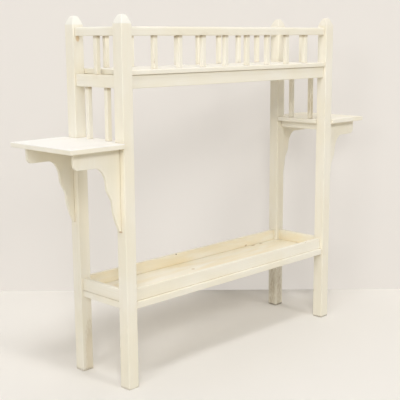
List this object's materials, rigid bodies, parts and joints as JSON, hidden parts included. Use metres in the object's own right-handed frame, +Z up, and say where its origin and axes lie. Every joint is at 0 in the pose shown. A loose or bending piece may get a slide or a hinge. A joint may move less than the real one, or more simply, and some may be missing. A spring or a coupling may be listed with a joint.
{
  "type": "plant stand",
  "caption": "Painted wooden plant stand on square posts: long upper board with a slatted gallery, bracketed side shelves at both ends and a long shallow tray below.",
  "frame": {"origin": "on the floor, at the middle of the stand's overall box", "axes": "+X along the length, +Y towards the back, +Z up"},
  "size_m": [1.358, 0.284, 1.0935],
  "materials": {
    "post_paint": "satin ivory paint, brushed on",
    "rail_paint": "satin ivory paint, brushed on",
    "slat_paint": "satin ivory paint, brushed on",
    "board_paint": "satin ivory paint, brushed on",
    "shelf_paint": "satin ivory paint, brushed on",
    "bracket_paint": "satin ivory paint, brushed on",
    "tray_paint": "satin ivory paint, yellowed and water stained inside",
    "dowel_wood": "bare hardwood"
  },
  "bodies": {
    "root": {"post_front_left": "post_paint", "post_front_right": "post_paint", "post_back_left": "post_paint", "post_back_right": "post_paint", "gallery_rail_front": "rail_paint", "gallery_rail_back": "rail_paint", "gallery_rail_left": "rail_paint", "gallery_rail_right": "rail_paint", "apron_front": "rail_paint", "apron_back": "rail_paint", "mid_rail_left": "rail_paint", "mid_rail_right": "rail_paint", "cross_rail_left": "rail_paint", "cross_rail_right": "rail_paint", "gallery_slat_front_1": "slat_paint", "gallery_slat_front_2": "slat_paint", "gallery_slat_front_3": "slat_paint", "gallery_slat_front_4": "slat_paint", "gallery_slat_front_5": "slat_paint", "gallery_slat_front_6": "slat_paint", "gallery_slat_front_7": "slat_paint", "gallery_slat_front_8": "slat_paint", "gallery_slat_back_1": "slat_paint", "gallery_slat_back_2": "slat_paint", "gallery_slat_back_3": "slat_paint", "gallery_slat_back_4": "slat_paint", "gallery_slat_back_5": "slat_paint", "gallery_slat_back_6": "slat_paint", "gallery_slat_back_7": "slat_paint", "gallery_slat_back_8": "slat_paint", "gallery_slat_left_end": "slat_paint", "gallery_slat_right_end": "slat_paint", "panel_slat_left_front": "slat_paint", "panel_slat_left_back": "slat_paint", "panel_slat_right_front": "slat_paint", "panel_slat_right_back": "slat_paint", "upper_board": "board_paint", "side_shelf_left": "shelf_paint", "side_shelf_right": "shelf_paint", "bracket_front_left": "bracket_paint", "bracket_front_right": "bracket_paint", "bracket_back_left": "bracket_paint", "bracket_back_right": "bracket_paint", "dowel_front_left_upper": "dowel_wood", "dowel_front_left_lower": "dowel_wood", "dowel_front_right_upper": "dowel_wood", "dowel_front_right_lower": "dowel_wood", "dowel_back_left_upper": "dowel_wood", "dowel_back_left_lower": "dowel_wood", "dowel_back_right_upper": "dowel_wood", "dowel_back_right_lower": "dowel_wood", "tray_board": "tray_paint", "tray_wall_front": "tray_paint", "tray_wall_back": "tray_paint", "tray_wall_left": "tray_paint", "tray_wall_right": "tray_paint"}
  },
  "joints": []
}
